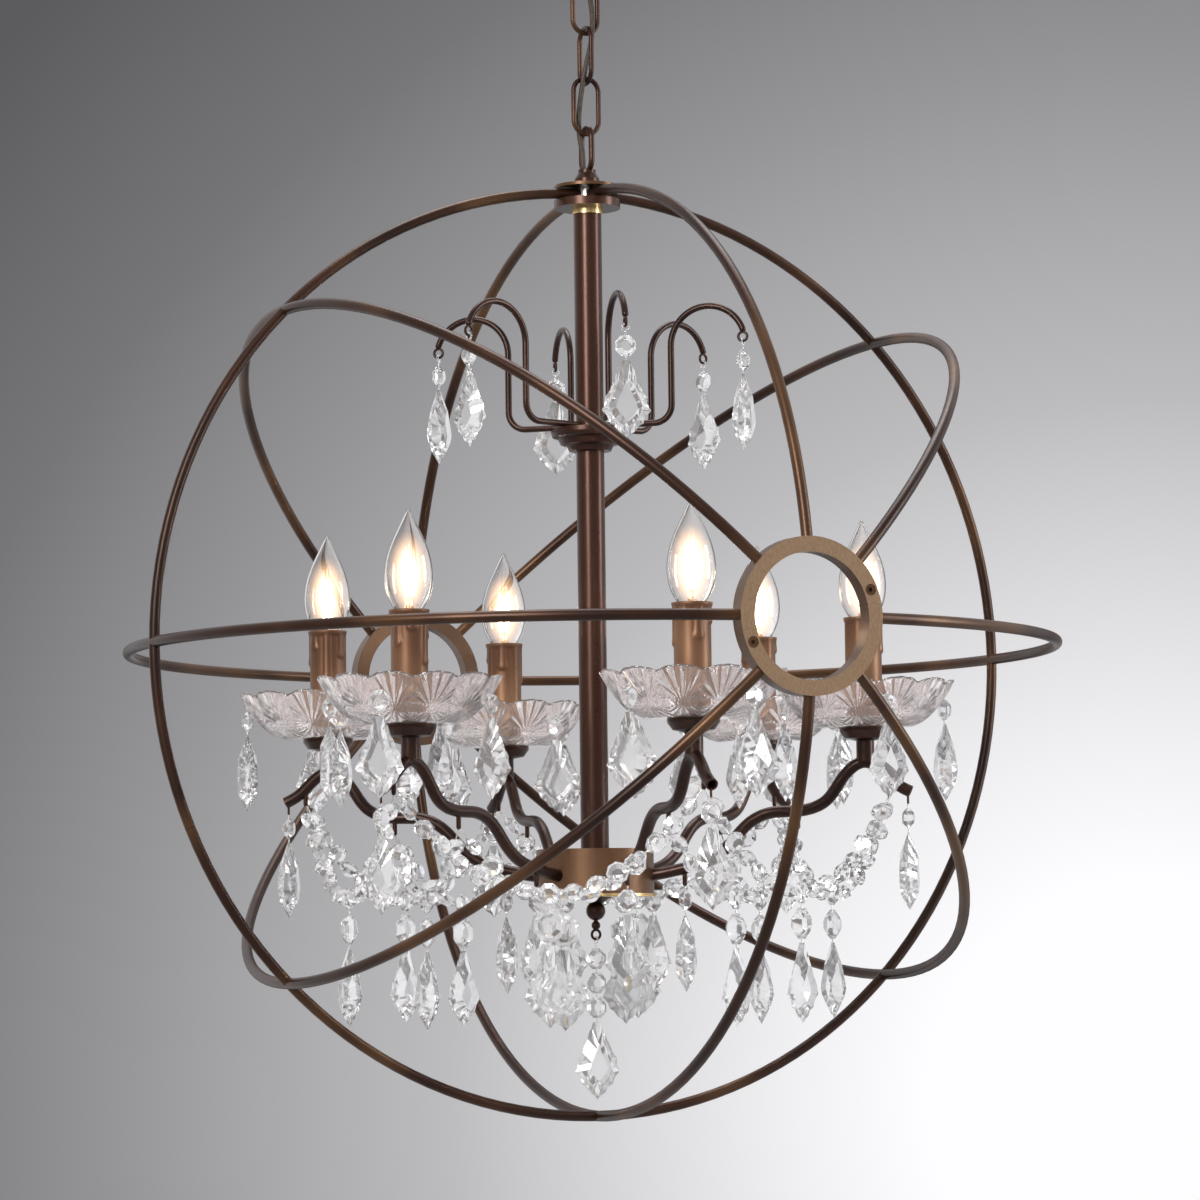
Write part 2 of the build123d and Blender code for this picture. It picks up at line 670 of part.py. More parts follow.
def make_candles(arm_outer):
    stem_low = arm_peak_height
    pan = turned(
        [
            (nipple_dia / 2 + fit_gap, stem_low),
            (pan_stem_dia / 2, stem_low),
            (pan_stem_dia / 2, pan_top - pan_height - pan_neck),
            (pan_bowl_dia / 2, pan_top - pan_height),
            (pan_dia / 2, pan_top - pan_edge),
            (pan_dia / 2, pan_top),
            (nipple_dia / 2 + fit_gap, pan_top),
        ]
    )
    pan = (pan - Pos(-candle_radius, 0, 0) * arm_outer).solids().sort_by(SortBy.VOLUME)[-1]
    nipple_low = arm_top + seat_gap
    nipple = tube(nipple_dia, nipple_bore, nipple_low, nipple_low + nipple_length)

    flat = dish_floor_dia / 2
    hole = nipple_dia / 2 + 2 * fit_gap
    radii = [flat + (dish_dia / 2 - flat) * k / dish_steps for k in range(dish_steps + 1)]
    below = [(radius, dish_underside(radius)) for radius in radii]
    above = [(radius - dish_rim_wall, height + dish_floor_thickness) for radius, height in reversed(below)]
    dish = turned([(hole, dish_bottom), *below, *above, (hole, dish_bottom + dish_floor_thickness)])
    notch = Rot(Y=90) * Cylinder(dish_notch_radius, dish_dia - dish_floor_dia)
    notch = Pos(dish_dia / 2, 0, dish_rim + dish_notch_radius - dish_lobe_depth / 2) * notch
    for k in range(dish_lobes):
        dish -= Rot(Z=360 * (k + 0.5) / dish_lobes) * notch
    dish = dish.solids().sort_by(SortBy.VOLUME)[-1]

    sleeve_bottom = dish_bottom + dish_floor_thickness + seat_gap
    sleeve_top = sleeve_bottom + sleeve_length
    sleeve = rod(sleeve_dia, sleeve_bottom, sleeve_top)
    sleeve += rod(sleeve_rim_dia, sleeve_top - sleeve_rim_height, sleeve_top)
    drip_foot = sleeve_dia / 2 - sleeve_wall / 2
    drip_place = Pos(drip_foot, 0, sleeve_top - sleeve_rim_height / 2)
    half = drip_width / 2
    for k, length in enumerate(drip_lengths):
        outline = [(half, 0), (half, -length), (0, -length - half), (-half, -length), (-half, 0)]
        shape = make_face(Polyline(*outline, close=True))
        drip = extrude(Plane.YZ * shape, drip_height + sleeve_wall / 2)
        sleeve += Rot(Z=360 * k / len(drip_lengths)) * drip_place * drip
    sleeve -= rod(sleeve_dia - 2 * sleeve_wall, sleeve_bottom - overcut, sleeve_top + overcut)
    sleeve = sleeve.solid()

    socket = rod(socket_dia, socket_bottom, socket_top)
    bulb_hole_low = socket_top - bulb_base_length - bulb_lift
    socket -= rod(bulb_base_dia + 2 * bulb_gap, bulb_hole_low, socket_top + overcut)
    socket -= rod(nipple_dia + 2 * fit_gap, socket_bottom - overcut, nipple_low + nipple_length + seat_gap)
    socket -= rod(nipple_bore, socket_bottom - overcut, bulb_hole_low - bulb_lift)
    socket = socket.solid()

    pieces = {
        "drip_pans": pan,
        "candle_nipples": nipple,
        "glass_dishes": dish,
        "candle_sleeves": sleeve,
        "lamp_sockets": socket,
    }
    for name, piece in pieces.items():
        nodes[name] = [place * piece for place in candle_places()]


def make_bulbs():
    base_low = socket_top - bulb_base_length - bulb_lift + bulb_gap
    base_top = base_low + bulb_base_length + bulb_lift
    cap_low = base_low + bulb_contact_height
    base = rod(bulb_base_dia, cap_low, base_top) + rod(bulb_contact_dia, base_low, cap_low)
    neck = bulb_neck_dia / 2
    foot = base_top + seat_gap
    tip = foot + bulb_length
    swell = [(bulb_dia / 2 * wide, foot + bulb_length * high) for wide, high in bulb_shape]
    side = Spline((neck, foot), *swell, (0, tip), tangents=[bulb_neck_run, bulb_tip_run])
    profile = make_face([side, Line((0, tip), (0, foot)), Line((0, foot), (neck, foot))])
    solid = revolve(Plane.XZ * profile, Axis.Z)
    inner = Pos(0, 0, foot + bulb_wall) * scale(Pos(0, 0, -foot) * solid, by=1 - 2 * bulb_wall / bulb_dia)
    envelope = (solid - inner).solid()
    low = foot + bulb_wall + seat_gap
    left = [(-filament_foot / 2, 0, low), (-filament_shoulder / 2, 0, low + filament_rise)]
    right = [(-x, y, z) for x, y, z in reversed(left)]
    legs = FilletPolyline(*left, (0, 0, low + filament_height), *right, radius=filament_bend)
    filament = swept(legs, Circle(filament_dia / 2)).solid()
    for number, place in enumerate(candle_places()):
        nodes[f"bulb_{number + 1}"] = [place * piece for piece in (base.solid(), envelope, filament)]


def cut_bead(size, depth):
    """Octagonal bead on a strand along Z, faces to the front and back."""
    turns = [2 * math.pi * (k + 0.5) / bead_sides for k in range(bead_sides)]
    reach = size / 2 / math.cos(math.pi / bead_sides)
    rim = [(reach * math.cos(turn), 0, reach * math.sin(turn)) for turn in turns]
    front = [(x * bead_table, -depth / 2, z * bead_table) for x, y, z in rim]
    back = [(x * bead_table, depth / 2, z * bead_table) for x, y, z in rim]
    faces = []
    for first in (bead_sides, 2 * bead_sides):
        faces.append(tuple(range(first, first + bead_sides)))
        for k in range(bead_sides):
            after = (k + 1) % bead_sides
            faces.append((k, after, first + after, first + k))
    return polyhedron(rim + front + back, faces)


def cut_pendant():
    """Flat cut drop with a scalloped edge, hung by its narrow top at the origin."""
    right = [(pendant_width / 2 * wide, pendant_length * low) for wide, low in pendant_outline]
    corners = right + [(0.0, pendant_length)] + [(-x, z) for x, z in reversed(right)]
    middle = pendant_length * pendant_middle
    count = len(corners)
    points = [(x, 0, -z) for x, z in corners]
    for k in range(count):
        (x0, z0), (x1, z1) = corners[k], corners[(k + 1) % count]
        x, z = (x0 + x1) / 2, (z0 + z1) / 2
        depth = pendant_scallop if k + 1 < count else pendant_top_dip
        draw_in = 1 - depth / math.hypot(x, z - middle)
        points.append((x * draw_in, 0, -(middle + (z - middle) * draw_in)))
    for side in (-1, 1):
        for x, z in corners:
            level = middle + (z - middle) * pendant_table
            points.append((x * pendant_table, side * pendant_depth / 2, -level))
    faces = []
    for first in (2 * count, 3 * count):
        faces.append(tuple(range(first, first + count)))
        for k in range(count):
            after = (k + 1) % count
            faces.append((k, count + k, first + k))
            faces.append((count + k, first + after, first + k))
            faces.append((count + k, after, first + after))
    return polyhedron(points, faces)


bead_reach = bead_size / 2 / math.cos(math.pi / bead_sides)
bead = cut_bead(bead_size, bead_depth)
rosette = cut_bead(rosette_size, rosette_depth)
pendant = cut_pendant()


def joint_pin(start, end):
    """Thin metal pin between two points, short of both by the strand gap."""
    start, end = Vector(*start), Vector(*end)
    along = (end - start).normalized()
    length = (end - start).length - 2 * strand_gap
    return Solid.make_cylinder(joint_pin_dia / 2, length, Plane(start + along * strand_gap, z_dir=along))


def strand(crystals, top):
    """Crystals and joining pins hung straight down from a height, as solids about the Z axis."""
    solids = []
    level = top
    for crystal, size, hung_by_top in crystals:
        solids.append(joint_pin((0, 0, level), (0, 0, level - joint_pin_length)))
        level -= joint_pin_length
        middle = level if hung_by_top else level - size / 2
        solids.append(Pos(0, 0, middle) * crystal)
        level -= size
    return solids


bead_item = (bead, bead_size, False)
rosette_item = (rosette, rosette_size, False)
pendant_item = (pendant, pendant_length, True)


def swag(pin_radius, pin_height, sag, count, azimuth):
    """Beads and pins of one garland between two neighbouring arms, and where its middle hangs."""
    reach = 180 / light_count
    ends = [at_azimuth(azimuth + side * reach, pin_radius, pin_height).position for side in (-1, 1)]
    low = (ends[0] + ends[1]) / 2 - Vector(0, 0, 2 * sag)
    line = Bezier(ends[0], low, ends[1])
    outward = at_azimuth(azimuth, 1).position
    beads, pins = [], []
    margin = arm_pin_dia / 2
    last = line.position_at(margin, position_mode=PositionMode.LENGTH)
    first = margin + swag_lead
    for k in range(count):
        run = first + (line.length - 2 * first) * (k + 0.5) / count
        along = line.tangent_at(run, position_mode=PositionMode.LENGTH)
        point = line.position_at(run, position_mode=PositionMode.LENGTH)
        is_middle = k == count // 2
        turn = 0 if is_middle else twist_step * (k - count // 2)
        across = outward.cross(along).rotate(Axis((0, 0, 0), along), turn)
        beads.append(Plane(point, x_dir=across, z_dir=along).location * bead)
        pins.append(joint_pin(last, point - along * (bead_size / 2)))
        last = point + along * (bead_size / 2)
    far_end = line.position_at(line.length - margin, position_mode=PositionMode.LENGTH)
    pins.append(joint_pin(last, far_end))
    return beads, pins, line @ 0.5


def make_crystals(finial_low):
    pin_foot = arm_pin_length + arm_pin_dia / 2
    hang_radius = dish_dia / 2 - dish_hang_inset
    pins = nodes["crystal_pins"] = []

    def hang(node, place, items, top):
        """Hang a straight strand in a node, with its joining pins among all the others."""
        for number, solid in enumerate(strand(items, top)):
            kept = pins if number % 2 == 0 else nodes.setdefault(node, [])
            kept.append(place * solid)

    kinds = {
        "outer_swags": (tail_pin_point, outer_swag_sag, outer_swag_beads),
        "inner_swags": (mid_pin_point, inner_swag_sag, inner_swag_beads),
    }
    for name, ((radius, height), sag, count) in kinds.items():
        nodes[name] = []
        for azimuth in azimuths(arm_azimuth + 180 / light_count):
            beads, joints, middle = swag(radius, height - arm_pin_length, sag, count, azimuth)
            nodes[name] += beads
            pins += joints
            place = Pos(middle.X, middle.Y, 0) * Rot(Z=azimuth)
            hang("swag_drops", place, [rosette_item, pendant_item], middle.Z - bead_reach)
    for azimuth in azimuths(arm_azimuth):
        for radius, top in (
            (tail_eye_radius, tail_eye_low),
            (hub_pin_point[0], hub_pin_point[1] - pin_foot),
        ):
            hang("arm_drops", at_azimuth(azimuth, radius) * Rot(Z=90), [bead_item, pendant_item], top)
    for place in candle_places():
        for k in range(dish_pendants_each):
            angle = dish_pendant_turn + 360 * k / dish_pendants_each
            spot = place * Rot(Z=angle) * Pos(hang_radius, 0, 0) * Rot(Z=90)
            turned_item = (Rot(Z=twist_step * k) * pendant, pendant_length, True)
            hang("dish_drops", spot, [bead_item, turned_item], dish_underside(hang_radius) - dish_hang_gap)

    ring_bow = (jump_ring_dia - jump_ring_wire) / 2
    ring = Rot(Z=90) * Rot(X=90) * Torus(ring_bow, jump_ring_wire / 2)
    ring_drop = ring_bow + (hook_eye_wire + jump_ring_wire) / 2 + chain_gap

    def swinging(items, wire_height):
        middle = wire_height + ring_drop - 2 * ring_bow
        below = middle - ring_bow - jump_ring_wire / 2
        return [Pos(0, 0, middle) * ring.solid()] + strand(items, below)

    for number, azimuth in enumerate(azimuths(hook_azimuth)):
        place = at_azimuth(azimuth, hook_tip_radius)
        ring_solid, *solids = swinging([bead_item, pendant_item], hook_eye_wire_height)
        nodes[f"upper_pendant_{number + 1}"] = [place * ring_solid]
        nodes[f"upper_pendant_{number + 1}"] += [place * Rot(Z=90) * solid for solid in solids]
    nodes["center_drop"] = swinging([bead_item] * center_beads + [pendant_item], finial_low)


stem_top = make_top_hub()
make_hoops()
make_ribs()
make_end_rings()
make_chain()
make_ceiling_fitting()
make_cord()
make_stem(stem_top)
make_hooks()
finial_low = make_lower_hub()
arm_outer = make_arms()
make_candles(arm_outer)
make_bulbs()
make_crystals(finial_low)

for name, solids in nodes.items():
    hung = [Pos(0, 0, -ceiling) * solid for solid in solids]
    export_step(Compound(hung), f"parts/{name}.step")
solid_count = sum(len(solids) for solids in nodes.values())
print(len(nodes), "nodes,", solid_count, "solids; ceiling", round(ceiling, 2))
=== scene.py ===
import json
import math

import bpy
from mathutils import Matrix, Vector


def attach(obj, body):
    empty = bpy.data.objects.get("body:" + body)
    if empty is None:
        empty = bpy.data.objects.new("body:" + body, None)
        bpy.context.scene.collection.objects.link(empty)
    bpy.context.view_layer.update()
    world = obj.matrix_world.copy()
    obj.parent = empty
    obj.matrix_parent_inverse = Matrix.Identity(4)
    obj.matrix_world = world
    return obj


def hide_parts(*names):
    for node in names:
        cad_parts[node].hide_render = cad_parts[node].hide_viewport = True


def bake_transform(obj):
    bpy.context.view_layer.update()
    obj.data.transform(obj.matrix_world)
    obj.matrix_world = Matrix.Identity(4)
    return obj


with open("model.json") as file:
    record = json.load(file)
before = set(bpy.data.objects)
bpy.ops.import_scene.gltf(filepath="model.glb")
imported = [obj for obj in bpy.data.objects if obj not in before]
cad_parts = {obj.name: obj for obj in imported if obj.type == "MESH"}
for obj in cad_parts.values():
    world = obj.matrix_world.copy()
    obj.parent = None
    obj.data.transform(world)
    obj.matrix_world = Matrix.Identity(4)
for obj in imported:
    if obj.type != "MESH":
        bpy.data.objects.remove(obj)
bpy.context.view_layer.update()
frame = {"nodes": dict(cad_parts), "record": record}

MM = 0.001

# Places in the frame, in metres. The origin is the ceiling plane on the stem axis.
CAGE_RADIUS = 312.5 * MM
CAGE_CENTRE = Vector((0, 0, -522.7 * MM))
LIGHTS = 6
ARM_AZIMUTH = -5.1
CANDLE_RADIUS = 184 * MM

# Camera, found from the photograph: it stands a little below the cage and to the left of its front ring
VIEW_AZIMUTH = -25.3
VIEW_ELEVATION = -4.04
VIEW_DISTANCE = 9.095 * CAGE_RADIUS
VIEW_ROLL = 0.7
LENS = 126.0
SENSOR = 36.0
PHOTO_SIZE = 1200
CENTRE_PIXEL = (592.0, 651.0)


def linear(red, green, blue):
    """A display colour, from 0 to 255, as scene-linear values with alpha."""
    channels = []
    for value in (red, green, blue):
        share = value / 255
        channels.append(share / 12.92 if share <= 0.04045 else ((share + 0.055) / 1.055) ** 2.4)
    return (*channels, 1.0)


def azimuth_point(azimuth, radius, height):
    """Point at an azimuth from the front, seen from above, about the stem axis and the cage centre."""
    turn = math.radians(azimuth)
    return CAGE_CENTRE + Vector((radius * math.sin(turn), -radius * math.cos(turn), height))


# Node helpers


class Finish:
    """A material with its tree, its main shader and short ways to add texture to it."""

    def __init__(self, name):
        self.material = bpy.data.materials.new(name)
        self.material.use_nodes = True
        self.tree = self.material.node_tree
        self.shader = self.tree.nodes["Principled BSDF"]
        self.coords = self.tree.nodes.new("ShaderNodeTexCoord")

    def set(self, **sockets):
        for name, value in sockets.items():
            self.shader.inputs[name.replace("_", " ")].default_value = value
        return self

    def node(self, kind, **inputs):
        made = self.tree.nodes.new(kind)
        for name, value in inputs.items():
            made.inputs[name.replace("_", " ")].default_value = value
        return made

    def link(self, output, socket):
        self.tree.links.new(output, socket)

    def noise(self, scale, detail=4.0, roughness=0.55, stretch=(1, 1, 1)):
        """Noise at a real scale, in features per metre, stretched along the axes."""
        mapping = self.node("ShaderNodeMapping", Scale=stretch)
        self.link(self.coords.outputs["Object"], mapping.inputs["Vector"])
        noise = self.node("ShaderNodeTexNoise", Scale=scale, Detail=detail, Roughness=roughness)
        self.link(mapping.outputs["Vector"], noise.inputs["Vector"])
        return noise.outputs["Fac"]

    def ramp(self, factor, stops):
        """Colour ramp through (position, colour) stops."""
        ramp = self.node("ShaderNodeValToRGB")
        elements = ramp.color_ramp.elements
        while len(elements) < len(stops):
            elements.new(0.5)
        for element, (position, colour) in zip(elements, stops):
            element.position = position
            element.color = colour
        self.link(factor, ramp.inputs["Fac"])
        return ramp.outputs["Color"]

    def spread(self, factor, low, high):
        """A factor from 0.3 to 0.7 mapped to a range of values."""
        spread = self.tree.nodes.new("ShaderNodeMapRange")
        for name, value in (("From Min", 0.3), ("From Max", 0.7), ("To Min", low), ("To Max", high)):
            spread.inputs[name].default_value = value
        self.link(factor, spread.inputs["Value"])
        return spread.outputs["Result"]

    def colour(self, output, socket="Base Color"):
        self.link(output, self.shader.inputs[socket])
        return self

    def bump(self, heights, distance, strength=1.0):
        """Bumps in metres, laid on each other."""
        last = None
        for height in heights:
            bump = self.node("ShaderNodeBump", Strength=strength, Distance=distance)
            self.link(height, bump.inputs["Height"])
            if last is not None:
                self.link(last, bump.inputs["Normal"])
            last = bump.outputs["Normal"]
        self.link(last, self.shader.inputs["Normal"])
        return self


METAL_SPECULAR = 0.25
METAL_COAT = 0.06
METAL_COAT_ROUGHNESS = 0.2
PATINA_STOPS = (0.34, 0.50, 0.68)
RUBBED_EDGE = (0.52, 0.64)
BRUSH_SCALE = 260.0
GRAIN_SCALE = 250.0
GRAIN_HEIGHT = 0.003 * MM


def metal(name, dark, middle, light, roughness, gloss=0.5, tone=9.0):
    """Browned metal: its tone drifts slowly along a bar, its edges are rubbed lighter, its skin is fine."""
    made = Finish(name)
    made.set(Metallic=gloss, Specular_IOR_Level=METAL_SPECULAR)
    made.set(Coat_Weight=METAL_COAT, Coat_Roughness=METAL_COAT_ROUGHNESS)
    drift = made.noise(tone, detail=2.0)
    patina = made.ramp(drift, list(zip(PATINA_STOPS, (dark, middle, light))))
    geometry = made.node("ShaderNodeNewGeometry")
    rubbed = made.ramp(geometry.outputs["Pointiness"], list(zip(RUBBED_EDGE, ((0, 0, 0, 1), (1, 1, 1, 1)))))
    worn = made.node("ShaderNodeMix")
    worn.data_type = "RGBA"
    made.link(rubbed, worn.inputs["Factor"])
    made.link(patina, worn.inputs["A"])
    worn.inputs["B"].default_value = light
    made.colour(worn.outputs["Result"])
    brushed = made.noise(BRUSH_SCALE, detail=4.0)
    made.link(made.spread(brushed, roughness - 0.02, roughness + 0.03), made.shader.inputs["Roughness"])
    made.bump([made.noise(GRAIN_SCALE, detail=1.0)], GRAIN_HEIGHT)
    return made


# The end rings' faces that look out of the cage, as shares of its radius from the middle; faces that look
# less outward keep the dark skin, as painted shade
UNSHADED_OUT_FACE = (0.75, 0.93)
BRUSHED_DARK = linear(138, 112, 88)
BRUSHED_LIGHT = linear(152, 126, 100)


def ring_metal_with_painted_shade():
    """Metal of the end rings: the faces that look out of the cage are brushed bright, and the faces that
    look into it keep the darker skin as painted shade.
    """
    made = metal("ring_bronze", linear(56, 38, 29), linear(70, 51, 40), linear(90, 69, 54), 0.32)
    facing = made.node("ShaderNodeVectorMath")
    facing.operation = "MULTIPLY"
    made.link(made.coords.outputs["Normal"], facing.inputs[0])
    made.link(made.coords.outputs["Object"], facing.inputs[1])
    parts = made.node("ShaderNodeSeparateXYZ")
    made.link(facing.outputs["Vector"], parts.inputs["Vector"])
    low, high = (share * CAGE_RADIUS for share in UNSHADED_OUT_FACE)
    # bright brushed colour only on faces that look out of the cage; inward faces stay dark, as painted
    # shade
    outside = made.node("ShaderNodeMapRange", From_Min=low, From_Max=high)
    made.link(parts.outputs["Y"], outside.inputs["Value"])
    strokes = made.noise(700.0, detail=3.0, stretch=(1, 1, 0.5))
    brushed = made.ramp(strokes, [(0.35, BRUSHED_DARK), (0.65, BRUSHED_LIGHT)])
    skin = made.shader.inputs["Base Color"].links[0].from_socket
    mix = made.node("ShaderNodeMix")
    mix.data_type = "RGBA"
    made.link(outside.outputs["Result"], mix.inputs["Factor"])
    made.link(skin, mix.inputs["A"])
    made.link(brushed, mix.inputs["B"])
    made.colour(mix.outputs["Result"])
    return made


def crystal(name, tint, edge, ior, smear, clear=1.0):
    """Cut or moulded glass: clear, with faint tinted streaks and a slightly uneven polish."""
    made = Finish(name)
    made.set(IOR=ior, Transmission_Weight=clear, Specular_IOR_Level=0.6)
    streaks = made.noise(90.0, detail=2.0, stretch=(1, 1, 0.4))
    made.colour(made.ramp(streaks, [(0.35, tint), (0.65, edge)]))
    made.link(made.spread(made.noise(400.0), 0.0, smear), made.shader.inputs["Roughness"])
    made.bump([made.noise(140.0, detail=1.0)], 0.000003)
    return made


def bulb_glass():
    made = Finish("bulb_glass")
    made.set(IOR=1.45, Transmission_Weight=1.0)
    streaks = made.noise(60.0, detail=2.0, stretch=(1, 1, 0.2))
    made.colour(made.ramp(streaks, [(0.3, (1, 0.985, 0.96, 1)), (0.7, (1, 1, 1, 1))]))
    made.link(made.spread(made.noise(300.0), 0.0, 0.02), made.shader.inputs["Roughness"])
    made.bump([made.noise(50.0, detail=1.0)], 0.00003)
    return made


def hot_wire():
    made = Finish("hot_wire")
    made.set(Roughness=0.5, Emission_Strength=40.0)
    heat = made.noise(500.0, detail=2.0)
    made.colour(made.ramp(heat, [(0.3, linear(60, 52, 46)), (0.7, linear(96, 84, 70))]))
    made.colour(made.ramp(heat, [(0.3, (1, 0.72, 0.42, 1)), (0.7, (1, 0.86, 0.62, 1))]), "Emission Color")
    return made


def lamp_glow():
    """Bright air round the hot wires: nothing to see at its skin, most light in its middle."""
    made = Finish("lamp_glow")
    made.set(Alpha=0.0)
    size = Vector((1 / GLOW_WIDTH, 1 / GLOW_WIDTH, 1 / GLOW_HEIGHT))
    centred = made.node("ShaderNodeMapping", Scale=size, Location=(0, 0, -GLOW_MIDDLE / GLOW_HEIGHT))
    made.link(made.coords.outputs["Object"], centred.inputs["Vector"])
    nearness = made.node("ShaderNodeTexGradient")
    nearness.gradient_type = "SPHERICAL"
    made.link(centred.outputs["Vector"], nearness.inputs["Vector"])
    strength = made.node("ShaderNodeMapRange", To_Max=GLOW_STRENGTH)
    made.link(nearness.outputs["Fac"], strength.inputs["Value"])
    air = made.node("ShaderNodeEmission")
    made.link(strength.outputs["Result"], air.inputs["Strength"])
    colour = made.ramp(nearness.outputs["Fac"], [(0.05, GLOW_EDGE), (0.6, GLOW_CORE)])
    made.link(colour, air.inputs["Color"])
    made.link(air.outputs["Emission"], made.tree.nodes["Material Output"].inputs["Volume"])
    return made


def plastic(name, dark, light, roughness):
    made = Finish(name)
    made.colour(made.ramp(made.noise(220.0, detail=5.0), [(0.3, dark), (0.7, light)]))
    polish = made.spread(made.noise(600.0), roughness - 0.06, roughness + 0.08)
    made.link(polish, made.shader.inputs["Roughness"])
    made.bump([made.noise(2500.0)], 0.00003)
    return made


# The lamps' glow, about the candle axis and the cage centre
GLOW_MIDDLE = 42 * MM
GLOW_HEIGHT = 27 * MM
GLOW_WIDTH = 14 * MM
GLOW_STRENGTH = 150.0
GLOW_EDGE = (1, 0.50, 0.20, 1)
GLOW_CORE = (1, 0.80, 0.55, 1)

# Metals: dark, middle and light tone, roughness and how metallic
METAL_FINISHES = {
    "bronze": ("bronze", (38, 22, 15), (54, 33, 23), (90, 64, 42), 0.36, 0.5),
    # darker bronze: the arms' own tone, and painted shade on the drip pans and the hub's bottom plate
    "dark_bronze_and_shade": ("dark_bronze_and_shade", (38, 22, 16), (47, 28, 21), (68, 44, 33), 0.3, 0.5),
    "hub_bronze": ("hub_bronze", (58, 37, 26), (80, 54, 38), (110, 80, 57), 0.34, 0.5),
    "copper_bronze": ("copper_bronze", (40, 22, 17), (48, 28, 21), (62, 38, 28), 0.29, 0.5),
    "gilt": ("gilt", (150, 112, 62), (184, 146, 90), (216, 184, 130), 0.24, 0.9),
    "steel": ("steel", (142, 138, 132), (178, 174, 168), (212, 210, 206), 0.26, 0.95),
    "zinc": ("zinc", (92, 91, 89), (110, 109, 107), (128, 127, 125), 0.55, 0.6),
    "drip_wax": ("drip_bronze", (84, 57, 41), (106, 75, 55), (134, 102, 77), 0.42, 0.5),
}

FINISHES = {
    "ring_bronze": ring_metal_with_painted_shade(),
    "socket": plastic("socket_ceramic", linear(206, 200, 188), linear(228, 224, 214), 0.45),
    "dish_glass": crystal("dish_glass", (1, 0.93, 0.92, 1), (1, 0.965, 0.955, 1), 1.52, 0.01, 0.93),
    "crystal": crystal("crystal", (1, 1, 1, 1), (0.975, 0.985, 1, 1), 1.56, 0.01, 0.88),
    "bulb": bulb_glass(),
    "cord": plastic("cord_sleeve", linear(44, 34, 28), linear(66, 52, 42), 0.6),
    "hot_wire": hot_wire(),
    "lamp_glow": lamp_glow(),
}
for slot, (name, dark, middle, light, roughness, gloss) in METAL_FINISHES.items():
    FINISHES[slot] = metal(name, linear(*dark), linear(*middle), linear(*light), roughness, gloss)
MATERIALS = {slot: finish.material for slot, finish in FINISHES.items()}

# Solids that are finished unlike the rest of their material slot. The darker bronze is painted shade on the
# drip pans and the hub's bottom plate; on the arms it is their own darker tone, and the other listed parts
# are simply darker
NODE_FINISHES = {"hub_drum": "hub_bronze", "crossbar": "zinc"}
for node in ("arms", "arm_pins", "drip_pans", "crystal_hooks", "finial", "stem_loop", "hub_bottom_plate"):
    NODE_FINISHES[node] = "dark_bronze_and_shade"


# Mesh helpers


def new_object(name, vertices, faces, material, smooth=True):
    mesh = bpy.data.meshes.new(name)
    mesh.from_pydata(vertices, [], faces)
    mesh.validate()
    mesh.materials.append(material)
    for polygon in mesh.polygons:
        polygon.use_smooth = smooth
    made = bpy.data.objects.new(name, mesh)
    bpy.context.scene.collection.objects.link(made)
    return made


def wrapped(rows, columns, closed):
    """Faces of a grid of rows that go round, its rows joined end to end as well if it is closed."""
    faces = []
    count = rows if closed else rows - 1
    for row in range(count):
        after = (row + 1) % rows
        for column in range(columns):
            beside = (column + 1) % columns
            faces.append(
                (
                    row * columns + column,
                    row * columns + beside,
                    after * columns + beside,
                    after * columns + column,
                )
            )
    return faces


def turned(profile, columns):
    """Vertices and faces of a shape turned about Z from radius and height; its ends are left open, so a
    closed shape's profile starts and ends near the axis.
    """
    vertices = []
    for radius, height in profile:
        for column in range(columns):
            angle = 2 * math.pi * column / columns
            vertices.append((radius * math.cos(angle), radius * math.sin(angle), height))
    return vertices, wrapped(len(profile), columns, closed=False)


def tube(points, radius, sides):
    """Vertices and faces of a tube along points, with flat ends."""
    vertices = []
    side = Vector((1, 0, 0))
    for number, point in enumerate(points):
        before = points[max(number - 1, 0)]
        after = points[min(number + 1, len(points) - 1)]
        along = (after - before).normalized()
        side = (side - along * side.dot(along)).normalized()
        across = along.cross(side)
        for k in range(sides):
            angle = 2 * math.pi * k / sides
            vertices.append(point + (side * math.cos(angle) + across * math.sin(angle)) * radius)
    faces = wrapped(len(points), sides, closed=False)
    faces.append(tuple(reversed(range(sides))))
    faces.append(tuple(range((len(points) - 1) * sides, len(points) * sides)))
    return vertices, faces


def merged(*parts):
    """Several (vertices, faces) as one."""
    vertices = []
    faces = []
    for part_vertices, part_faces in parts:
        first = len(vertices)
        vertices.extend(part_vertices)
        faces.extend(tuple(index + first for index in face) for face in part_faces)
    return vertices, faces


def nurbs_points(route, resolution):
    """Points along the smooth line that has the route as its control points."""
    curve = bpy.data.curves.new("route", "CURVE")
    curve.dimensions = "3D"
    spline = curve.splines.new("NURBS")
    spline.points.add(len(route) - 1)
    for control, point in zip(spline.points, route):
        control.co = (*point, 1.0)
    spline.order_u = 3
    spline.use_endpoint_u = True
    spline.resolution_u = resolution
    holder = bpy.data.objects.new("route", curve)
    bpy.context.scene.collection.objects.link(holder)
    line = bpy.data.meshes.new_from_object(holder)
    points = [vertex.co.copy() for vertex in line.vertices]
    bpy.data.objects.remove(holder)
    bpy.data.curves.remove(curve)
    bpy.data.meshes.remove(line)
    return points


def repeat(name, vertices, faces, material, placing):
    """The same mesh at each candle; placing gets each copy and its number, from 1."""
    first = None
    for number in range(1, LIGHTS + 1):
        if first is None:
            made = new_object(f"{name}_{number}", vertices, faces, material)
            first = made
        else:
            made = bpy.data.objects.new(f"{name}_{number}", first.data)
            bpy.context.scene.collection.objects.link(made)
        azimuth = ARM_AZIMUTH + 360 * (number - 1) / LIGHTS
        turn = Matrix.Rotation(math.radians(azimuth - 90), 4, "Z")
        made.matrix_world = Matrix.Translation(azimuth_point(azimuth, CANDLE_RADIUS, 0)) @ turn
        placing(made, number)


# Glass dishes

